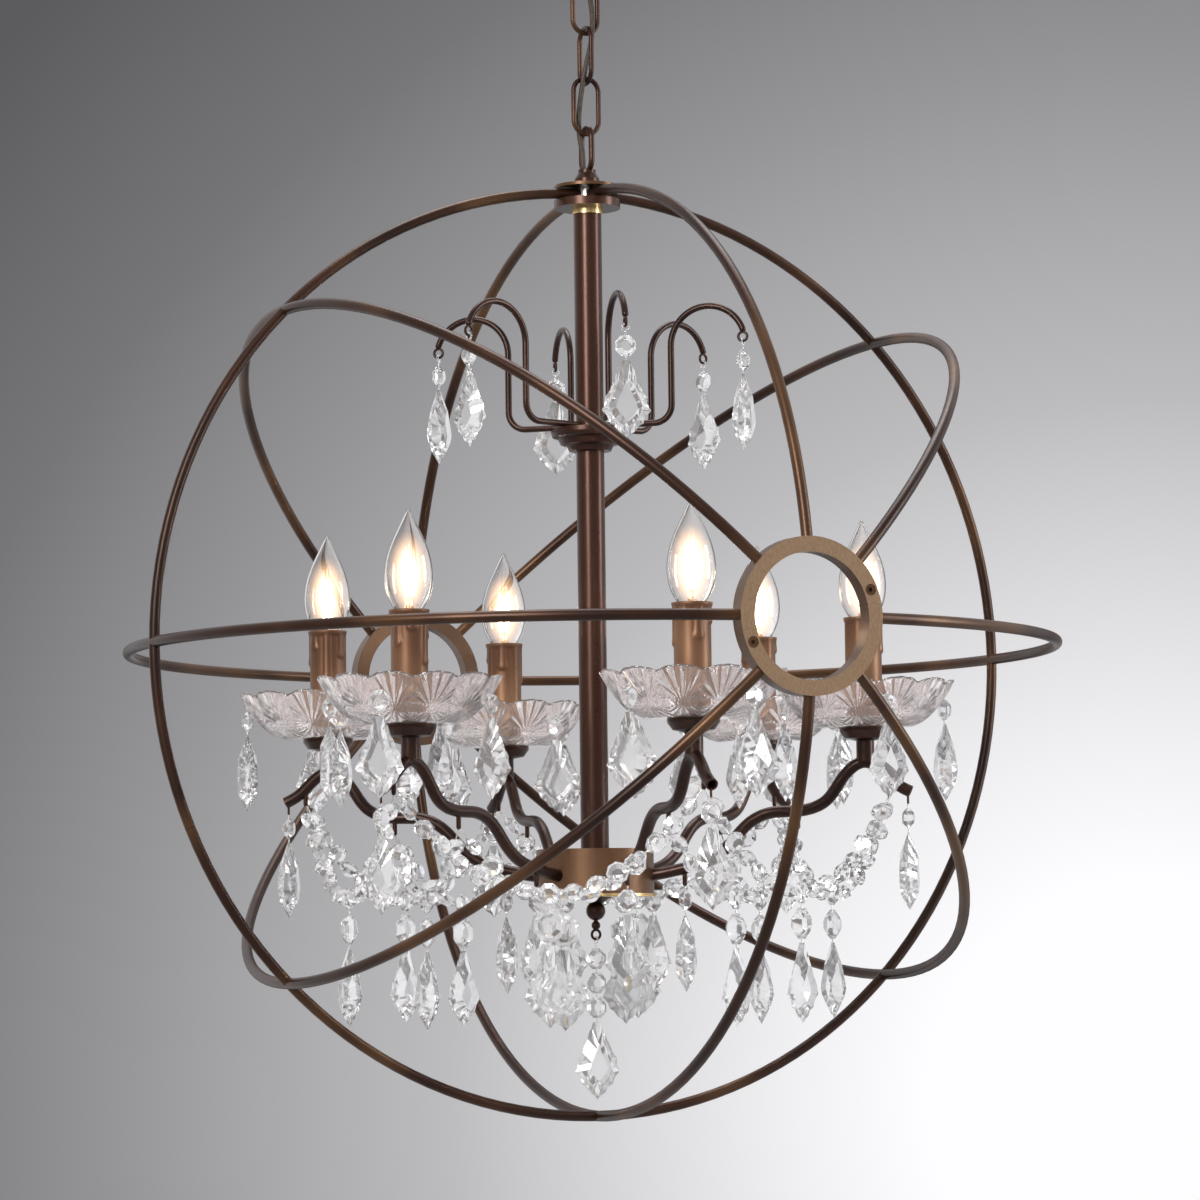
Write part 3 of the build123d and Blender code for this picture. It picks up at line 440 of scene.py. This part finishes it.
DISH_BOTTOM = -55.95 * MM
DISH_RADIUS = 60.5 * MM
DISH_FLOOR = 25 * MM
DISH_HOLE = 4.2 * MM
DISH_HEIGHT = 31 * MM
DISH_FLOOR_WALL = 2.7 * MM
DISH_RIM_WALL = 2.6 * MM
DISH_LOBES = 12
DISH_LOBE_DROP = 3.6 * MM
DISH_LOBE_INSET = 2.2 * MM
DISH_RISE = 2.2
FAN_FOOT = 0.55
FAN_LENGTH = 24 * MM
FAN_PETAL = math.radians(18)
FAN_START = 5 * MM
FAN_RELIEF = 1.9 * MM
FAN_SHARPNESS = 0.6
PETAL_DROP = 0.9 * MM
LOBE_SHARPNESS = 0.7
DISH_COLUMNS = DISH_LOBES * 48
DISH_ROWS = 44


def dish_wall_point(angle, share, inside):
    """Point on the wall of a dish, share of the way from its floor to its scalloped rim."""
    lobe = abs(math.cos(DISH_LOBES * angle / 2)) ** LOBE_SHARPNESS
    radius = DISH_FLOOR + (DISH_RADIUS - DISH_FLOOR) * share
    height = DISH_HEIGHT * share**DISH_RISE
    height -= DISH_LOBE_DROP * (1 - lobe) * share**4
    radius -= DISH_LOBE_INSET * (1 - lobe) * share**3
    if inside:
        return radius - DISH_RIM_WALL, height + DISH_FLOOR_WALL * (1 - share**4)
    spacing = 2 * math.pi / DISH_LOBES
    aside = ((angle / spacing + 0.5) % 1.0 - 0.5) * spacing * radius
    along = abs(share - FAN_FOOT) / (1 - FAN_FOOT) * FAN_LENGTH
    petal = abs(math.cos(math.pi * math.atan2(aside, along) / FAN_PETAL))
    grown = min(1.0, along / FAN_START) * min(1.0, (1.05 - share) * 12) * min(1.0, share * 5)
    groove = (1 - petal**FAN_SHARPNESS) * grown
    return radius - FAN_RELIEF * groove, height - PETAL_DROP * groove * share**8


def glass_dishes():
    rows = []
    shares = [k / DISH_ROWS for k in range(DISH_ROWS + 1)]
    floor_steps = (DISH_HOLE, DISH_HOLE * 2, DISH_FLOOR * 0.7)
    outer = [("floor", radius, 0.0) for radius in floor_steps]
    outer += [("wall", share, False) for share in shares]
    inner = [("wall", share, True) for share in reversed(shares)]
    inner += [("floor", radius, DISH_FLOOR_WALL) for radius in reversed(floor_steps)]
    for kind, value, extra in outer + inner:
        row = []
        for column in range(DISH_COLUMNS):
            angle = 2 * math.pi * column / DISH_COLUMNS
            radius, height = (value, extra) if kind == "floor" else dish_wall_point(angle, value, extra)
            row.append((radius * math.cos(angle), radius * math.sin(angle), DISH_BOTTOM + height))
        rows.append(row)
    vertices = [point for row in rows for point in row]
    faces = wrapped(len(rows), DISH_COLUMNS, closed=True)

    def placing(dish, number):
        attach(dish, "chandelier")
        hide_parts("glass_dishes")

    repeat("glass_dish", vertices, faces, MATERIALS["dish_glass"], placing)


# Candle sleeves

SLEEVE_RADIUS = 12 * MM
SLEEVE_WALL = 1.7 * MM
SLEEVE_TOP = 18 * MM
SLEEVE_BOTTOM = -53.2 * MM
SLEEVE_RIM = 1.2 * MM
SLEEVE_RIM_HEIGHT = 3.5 * MM
DRIP_LENGTHS = [22 * MM, 12 * MM, 34 * MM, 17 * MM, 42 * MM, 26 * MM, 9 * MM]
DRIP_WIDTH = 7.6 * MM
DRIP_RELIEF = 1.2 * MM
DRIP_END = 2.6 * MM
DRIP_SWELL = 0.28
DRIP_SWELL_LENGTH = 3 * MM
SLEEVE_COLUMNS = 112
SLEEVE_ROWS = 72


def drip_relief(angle, depth):
    """How far the wax stands out at an angle, a depth below the top."""
    most = 0.0
    for number, length in enumerate(DRIP_LENGTHS):
        middle = 2 * math.pi * number / len(DRIP_LENGTHS)
        aside = (angle - middle + math.pi) % (2 * math.pi) - math.pi
        across = aside * SLEEVE_RADIUS
        swell = 1 - DRIP_SWELL + DRIP_SWELL * math.exp(-(((depth - length) / DRIP_SWELL_LENGTH) ** 2))
        below = max(0.0, depth - length)
        reach = (across / (DRIP_WIDTH / 2 * swell)) ** 2 + (below / DRIP_END) ** 2
        if reach < 1:
            most = max(most, DRIP_RELIEF * swell * math.sqrt(1 - reach))
    rim = SLEEVE_RIM * max(0.0, 1 - (depth / SLEEVE_RIM_HEIGHT) ** 4)
    return max(most, rim)


def candle_sleeves():
    rows = []
    for k in range(SLEEVE_ROWS + 1):
        depth = (SLEEVE_TOP - SLEEVE_BOTTOM) * (1 - k / SLEEVE_ROWS)
        rows.append([(SLEEVE_RADIUS, depth, True)] * SLEEVE_COLUMNS)
    for depth in (0.0, SLEEVE_RIM_HEIGHT, SLEEVE_TOP - SLEEVE_BOTTOM):
        rows.append([(SLEEVE_RADIUS - SLEEVE_WALL, depth, False)] * SLEEVE_COLUMNS)
    vertices = []
    for row in rows:
        for column, (radius, depth, outside) in enumerate(row):
            angle = 2 * math.pi * column / SLEEVE_COLUMNS
            if outside:
                radius += drip_relief(angle, depth)
            vertices.append((radius * math.cos(angle), radius * math.sin(angle), SLEEVE_TOP - depth))
    faces = wrapped(len(rows), SLEEVE_COLUMNS, closed=True)

    def placing(sleeve, number):
        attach(sleeve, "chandelier")
        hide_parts("candle_sleeves")

    repeat("candle_sleeve", vertices, faces, MATERIALS["drip_wax"], placing)


# Lamps

BULB_FOOT = 14.1 * MM
BULB_LENGTH = 70 * MM
BULB_RADIUS = 16 * MM
BULB_WALL = 0.8 * MM
BULB_SHAPE = [(0.0, 0.42), (0.05, 0.56), (0.13, 0.78), (0.23, 0.94), (0.35, 1.0), (0.48, 0.96)]
BULB_SHAPE += [(0.60, 0.83), (0.72, 0.62), (0.83, 0.38), (0.92, 0.19), (0.97, 0.09), (1.0, 0.0)]
BULB_COLUMNS = 64
BULB_ROWS = 72
POINT_RADIUS = 0.05 * MM
BASE_RADIUS = 6 * MM
BASE_LENGTH = 20 * MM
BASE_THREADS = 6
THREAD_DEPTH = 0.5 * MM
BASE_TAPER = 0.12  # share of the cap that narrows to the contact
CONTACT_SHARE = 0.35
FILAMENT_LEGS = 5
FILAMENT_RADIUS = 0.35 * MM
FILAMENT_LOW = 13 * MM
FILAMENT_HIGH = 36 * MM
FILAMENT_INNER = 3.0 * MM
FILAMENT_OUTER = 4.2 * MM
FILAMENT_TURN = 0.92  # share of the full round
FILAMENT_BOW = 0.12
MOUNT_PROFILE = [(0.2, 2.0), (4.6, 2.2), (3.2, 5.0), (2.0, 9.0), (2.3, 11.5), (0.2, 13.0)]
LEAD_PROFILE = [(2.4, 2.0), (3.4, 9.0), (3.0, 13.0)]
LEAD_RADIUS = 0.3 * MM


def bulb_radius(share):
    """Radius of the flame-shaped bulb, share of the way up, on straight lines between the points of its
    shape.
    """
    for (low, r0), (high, r1) in zip(BULB_SHAPE, BULB_SHAPE[1:]):
        if share <= high:
            step = (share - low) / (high - low)
            return BULB_RADIUS * (r0 + (r1 - r0) * step)
    return 0.0


def smooth_radius(share):
    """The bulb's radius, rounded over a short stretch above and below."""
    window = 0.05 * min(1.0, share * 8, (1 - share) * 8)
    samples = [bulb_radius(share + window * (k - 4) / 4) for k in range(9)]
    return sum(samples) / len(samples)


def bulb_envelopes():
    """Clear flame-shaped glass, its inner skin a wall's thickness inside the outer one."""
    outer = []
    for k in range(BULB_ROWS + 1):
        share = k / BULB_ROWS
        outer.append((max(smooth_radius(share), POINT_RADIUS), BULB_FOOT + BULB_LENGTH * share))
    inner = []
    for below, point, above in zip(outer, outer[1:], outer[2:]):
        slope = Vector((above[1] - below[1], below[0] - above[0])).normalized()
        radius = point[0] - slope.x * BULB_WALL
        if radius > 2 * POINT_RADIUS:
            inner.append((radius, point[1] - slope.y * BULB_WALL))
    glass = turned([(POINT_RADIUS, outer[0][1]), *outer], BULB_COLUMNS)
    hollow = [(POINT_RADIUS, inner[0][1]), *inner, (POINT_RADIUS, inner[-1][1] + BULB_WALL)]
    hollow_vertices, hollow_faces = turned(hollow, BULB_COLUMNS)
    lining = (hollow_vertices, [tuple(reversed(face)) for face in hollow_faces])
    vertices, faces = merged(glass, lining)

    def placing(envelope, number):
        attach(envelope, f"bulb_{number}")
        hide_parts(f"bulb_{number}")

    repeat("bulb_glass", vertices, faces, MATERIALS["bulb"], placing)


def bulb_bases():
    """Threaded lamp caps with the contact below."""
    columns = 48
    rows = 60
    low = BULB_FOOT - BASE_LENGTH
    vertices = []
    for row in range(rows + 1):
        share = row / rows
        for column in range(columns):
            angle = 2 * math.pi * column / columns
            wave = math.sin(2 * math.pi * BASE_THREADS * share + angle)
            body = 1.0 if share > BASE_TAPER else CONTACT_SHARE + 5.4 * share
            radius = BASE_RADIUS * body - THREAD_DEPTH * (1 - wave) / 2 * (0.15 < share < 0.9)
            vertices.append((radius * math.cos(angle), radius * math.sin(angle), low + BASE_LENGTH * share))
    faces = wrapped(rows + 1, columns, closed=False)
    faces.append(tuple(reversed(range(columns))))
    faces.append(tuple(range(rows * columns, (rows + 1) * columns)))

    def placing(base, number):
        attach(base, f"bulb_{number}")
        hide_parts(f"bulb_{number}")

    repeat("bulb_base", vertices, faces, MATERIALS["gilt"], placing)


def filaments():
    """Hot wires that stand in a ring on the lamp's glass mount, joined to zigzag."""
    parts = []
    zigzag = []
    for leg in range(FILAMENT_LEGS * 2 + 1):
        angle = 2 * math.pi * leg / (FILAMENT_LEGS * 2) * FILAMENT_TURN
        radius = FILAMENT_OUTER if leg % 2 else FILAMENT_INNER
        height = BULB_FOOT + (FILAMENT_HIGH if leg % 2 else FILAMENT_LOW)
        zigzag.append(Vector((radius * math.cos(angle), radius * math.sin(angle), height)))
    for start, end in zip(zigzag, zigzag[1:]):
        middle = (start + end) / 2
        bowed = middle + Vector((middle.x, middle.y, 0)) * FILAMENT_BOW
        parts.append(tube([start, bowed, end], FILAMENT_RADIUS, 8))
    vertices, faces = merged(*parts)

    def placing(wire, number):
        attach(wire, f"bulb_{number}")
        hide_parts(f"bulb_{number}")

    repeat("bulb_filament", vertices, faces, MATERIALS["hot_wire"], placing)


def mounts():
    """Glass mount inside each lamp, with the two lead wires."""
    profile = [(radius * MM, BULB_FOOT + height * MM) for radius, height in MOUNT_PROFILE]
    leads = []
    for side in (-1, 1):
        route = [Vector((side * aside * MM, 0, BULB_FOOT + height * MM)) for aside, height in LEAD_PROFILE]
        leads.append(tube(route, LEAD_RADIUS, 8))
    vertices, faces = merged(turned(profile, 24), *leads)

    def placing(mount, number):
        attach(mount, f"bulb_{number}")
        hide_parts(f"bulb_{number}")

    repeat("bulb_mount", vertices, faces, MATERIALS["bulb"], placing)


def lamp_glows():
    """Round body of bright air inside each lamp."""
    rows = 24
    profile = []
    for k in range(rows + 1):
        turn = math.pi * (k / rows - 0.5)
        width = max(GLOW_WIDTH * math.cos(turn), 0.02 * MM)
        profile.append((width, GLOW_MIDDLE + GLOW_HEIGHT * math.sin(turn)))
    vertices, faces = turned(profile, 40)

    def placing(glow, number):
        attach(glow, f"bulb_{number}")
        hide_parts(f"bulb_{number}")

    repeat("bulb_glow", vertices, faces, MATERIALS["lamp_glow"], placing)


# Power cord, woven through the chain: its points are those of the solid cord

CORD_RADIUS = 1.75 * MM
CORD_OFFSET = 4.8 * MM
CORD_SIDES = 14
JOINT_LEVELS = [-64.0 * MM, -98.6 * MM, -133.5 * MM, -168.4 * MM]
LINK_MIDDLES = [-79.3 * MM, -114.2 * MM, -149.1 * MM]
CORD_CORNERS = [(1, 1), (1, -1), (-1, -1), (-1, 1)]
LINK_WIRE = 3.4 * MM
CORD_TOP = [(0, 0, 0), (0, 0, -39 * MM)]
CORD_FOOT = [(0, 0, -189.4 * MM), (0, 0, -671.7 * MM)]


def power_cord():
    route = list(CORD_TOP)
    for (side_x, side_y), level in zip(CORD_CORNERS, JOINT_LEVELS):
        route.append((side_x * CORD_OFFSET, side_y * CORD_OFFSET, level + LINK_WIRE / 2))
    route += CORD_FOOT
    points = nurbs_points(route, 24)
    bottom = CORD_FOOT[-1][2]
    cuts = [0.0, *LINK_MIDDLES, CORD_FOOT[0][2] - 2 * LINK_WIRE, bottom]
    for number in range(len(cuts) - 1):
        run = [p for p in points if cuts[number + 1] - LINK_WIRE <= p.z <= cuts[number] + LINK_WIRE]
        vertices, faces = tube(run, CORD_RADIUS, CORD_SIDES)
        cord = new_object(f"power_cord_{number + 1}", vertices, faces, MATERIALS["cord"])
        if number < len(JOINT_LEVELS):
            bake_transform(cord)
        else:
            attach(cord, "chandelier")
        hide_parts("power_cord")


def dress_nodes():
    """Every solid takes the finish of its material slot, or the finish listed for it in NODE_FINISHES."""
    for subpart in frame["record"]["subparts"]:
        node = subpart["node"]
        finish = NODE_FINISHES.get(node, subpart["material_slot"])
        mesh = frame["nodes"][node].data
        mesh.materials.clear()
        mesh.materials.append(MATERIALS[finish])


dress_nodes()
glass_dishes()
candle_sleeves()
bulb_envelopes()
bulb_bases()
filaments()
mounts()
lamp_glows()
power_cord()


# Studio


def look_from(place, aim, roll):
    """Matrix of something at a place that looks at a point, turned about its line of sight."""
    ahead = (aim - place).normalized()
    turn = ahead.to_track_quat("-Z", "Y").to_matrix().to_4x4()
    return Matrix.Translation(place) @ turn @ Matrix.Rotation(roll, 4, "Z")


def make_camera():
    azimuth = math.radians(VIEW_AZIMUTH)
    elevation = math.radians(VIEW_ELEVATION)
    back = Vector(
        (
            math.sin(azimuth) * math.cos(elevation),
            -math.cos(azimuth) * math.cos(elevation),
            math.sin(elevation),
        )
    )
    place = CAGE_CENTRE + back * VIEW_DISTANCE
    right = (-back).cross(Vector((0, 0, 1))).normalized()
    up = right.cross(-back)
    pixel = SENSOR / LENS / PHOTO_SIZE * VIEW_DISTANCE
    aside = (PHOTO_SIZE / 2 - CENTRE_PIXEL[0]) * pixel
    above = (CENTRE_PIXEL[1] - PHOTO_SIZE / 2) * pixel
    camera = bpy.data.objects.new("camera", bpy.data.cameras.new("camera"))
    bpy.context.scene.collection.objects.link(camera)
    camera.data.lens = LENS
    camera.data.sensor_width = SENSOR
    aim = CAGE_CENTRE + right * aside + up * above
    camera.matrix_world = look_from(place, aim, -math.radians(VIEW_ROLL))
    bpy.context.scene.camera = camera
    return camera.matrix_world


# Softboxes: name, place and size in metres, watts and colour
SOFTBOXES = [
    ("softbox_left", (-2.2, -1.8, 0.6), (0.9, 1.6), 92, (1.0, 0.96, 0.91)),
    ("softbox_right", (2.2, -1.4, -0.1), (0.7, 1.8), 46, (0.98, 0.99, 1.0)),
    ("softbox_top", (0.2, 0.4, 1.6), (1.4, 1.4), 40, (1.0, 1.0, 1.0)),
]


def make_softbox(name, place, size, watts, colour):
    light = bpy.data.lights.new(name, "AREA")
    light.shape = "RECTANGLE"
    light.size, light.size_y = size
    light.energy = watts
    light.color = colour
    softbox = bpy.data.objects.new(name, light)
    bpy.context.scene.collection.objects.link(softbox)
    softbox.matrix_world = look_from(Vector(place), CAGE_CENTRE, 0)
    softbox.visible_camera = False


AIR_STRENGTH = 0.18
FLOOR_LEVEL = -4.2
FLOOR_SIZE = 9.0
FLOOR_LIFT = 0.42


def seen_share(tree):
    """1 for rays that see a surface directly or in metal and glass, 0 for rays that carry its light."""
    rays = tree.nodes.new("ShaderNodeLightPath")
    seen = tree.nodes.new("ShaderNodeMath")
    seen.operation = "ADD"
    tree.links.new(rays.outputs["Is Camera Ray"], seen.inputs[0])
    tree.links.new(rays.outputs["Is Glossy Ray"], seen.inputs[1])
    through = tree.nodes.new("ShaderNodeMath")
    through.operation = "ADD"
    through.use_clamp = True
    tree.links.new(seen.outputs["Value"], through.inputs[0])
    tree.links.new(rays.outputs["Is Transmission Ray"], through.inputs[1])
    return through.outputs["Value"]


def make_floor():
    """Pale floor below, with faint mottling, lifted in brightness where it is seen."""
    steps = 24
    vertices = []
    for row in range(steps + 1):
        for column in range(steps + 1):
            across = FLOOR_SIZE * (column / steps - 0.5)
            vertices.append((across, FLOOR_SIZE * (row / steps - 0.5), FLOOR_LEVEL))
    faces = []
    for row in range(steps):
        for column in range(steps):
            first = row * (steps + 1) + column
            faces.append((first, first + 1, first + steps + 2, first + steps + 1))
    paint = plastic("floor_paint", linear(222, 221, 222), linear(230, 229, 230), 0.6)
    lift = paint.node("ShaderNodeMath")
    lift.operation = "MULTIPLY"
    lift.inputs[1].default_value = FLOOR_LIFT
    paint.link(seen_share(paint.tree), lift.inputs[0])
    paint.set(Emission_Color=(1, 1, 1, 1))
    paint.link(lift.outputs["Value"], paint.shader.inputs["Emission Strength"])
    floor = new_object("floor", vertices, faces, paint.material)


# The wall's light patch is low on the right of the picture. Its shades go by the angle from there,
# in degrees. The room round the wall is pale, and a little less so on its far side.
PATCH_PIXEL = (1150.0, 1100.0)
WALL_SHADES = [(3.0, 254), (4.9, 240), (9.5, 188), (13.9, 150), (17.2, 118), (21.0, 92), (24.0, 96)]
WALL_SHADES += [(40.0, 244), (80.0, 244), (110.0, 208)]


def make_world(camera_place):
    """Even studio light; what is seen directly or in metal and glass is a plain wall in a pale room."""
    aside = (PATCH_PIXEL[0] - PHOTO_SIZE / 2) * SENSOR / PHOTO_SIZE
    below = (PATCH_PIXEL[1] - PHOTO_SIZE / 2) * SENSOR / PHOTO_SIZE
    patch = (camera_place.to_3x3() @ Vector((aside, -below, -LENS))).normalized()
    world = bpy.data.worlds.new("studio")
    bpy.context.scene.world = world
    world.use_nodes = True
    tree = world.node_tree
    tree.nodes.clear()
    coords = tree.nodes.new("ShaderNodeTexCoord")
    nearness = tree.nodes.new("ShaderNodeVectorMath")
    nearness.operation = "DOT_PRODUCT"
    nearness.inputs[1].default_value = patch
    tree.links.new(coords.outputs["Generated"], nearness.inputs[0])
    angle = tree.nodes.new("ShaderNodeMath")
    angle.operation = "ARCCOSINE"
    tree.links.new(nearness.outputs["Value"], angle.inputs[0])
    widest = WALL_SHADES[-1][0]
    span = tree.nodes.new("ShaderNodeMapRange")
    span.inputs["From Max"].default_value = math.radians(widest)
    tree.links.new(angle.outputs["Value"], span.inputs["Value"])
    wall_colour = tree.nodes.new("ShaderNodeValToRGB")
    elements = wall_colour.color_ramp.elements
    while len(elements) < len(WALL_SHADES):
        elements.new(0.5)
    for element, (degrees, shade) in zip(elements, WALL_SHADES):
        element.position = degrees / widest
        element.color = linear(shade, shade - 1, shade + 1)
    tree.links.new(span.outputs["Result"], wall_colour.inputs["Fac"])
    wall = tree.nodes.new("ShaderNodeBackground")
    tree.links.new(wall_colour.outputs["Color"], wall.inputs["Color"])
    air = tree.nodes.new("ShaderNodeBackground")
    air.inputs["Color"].default_value = (1, 1, 1, 1)
    air.inputs["Strength"].default_value = AIR_STRENGTH
    mix = tree.nodes.new("ShaderNodeMixShader")
    tree.links.new(seen_share(tree), mix.inputs["Fac"])
    tree.links.new(air.outputs["Background"], mix.inputs[1])
    tree.links.new(wall.outputs["Background"], mix.inputs[2])
    output = tree.nodes.new("ShaderNodeOutputWorld")
    tree.links.new(mix.outputs["Shader"], output.inputs["Surface"])


camera_place = make_camera()
make_world(camera_place)
make_floor()
for softbox in SOFTBOXES:
    make_softbox(*softbox)

bpy.context.scene.view_settings.view_transform = "Standard"
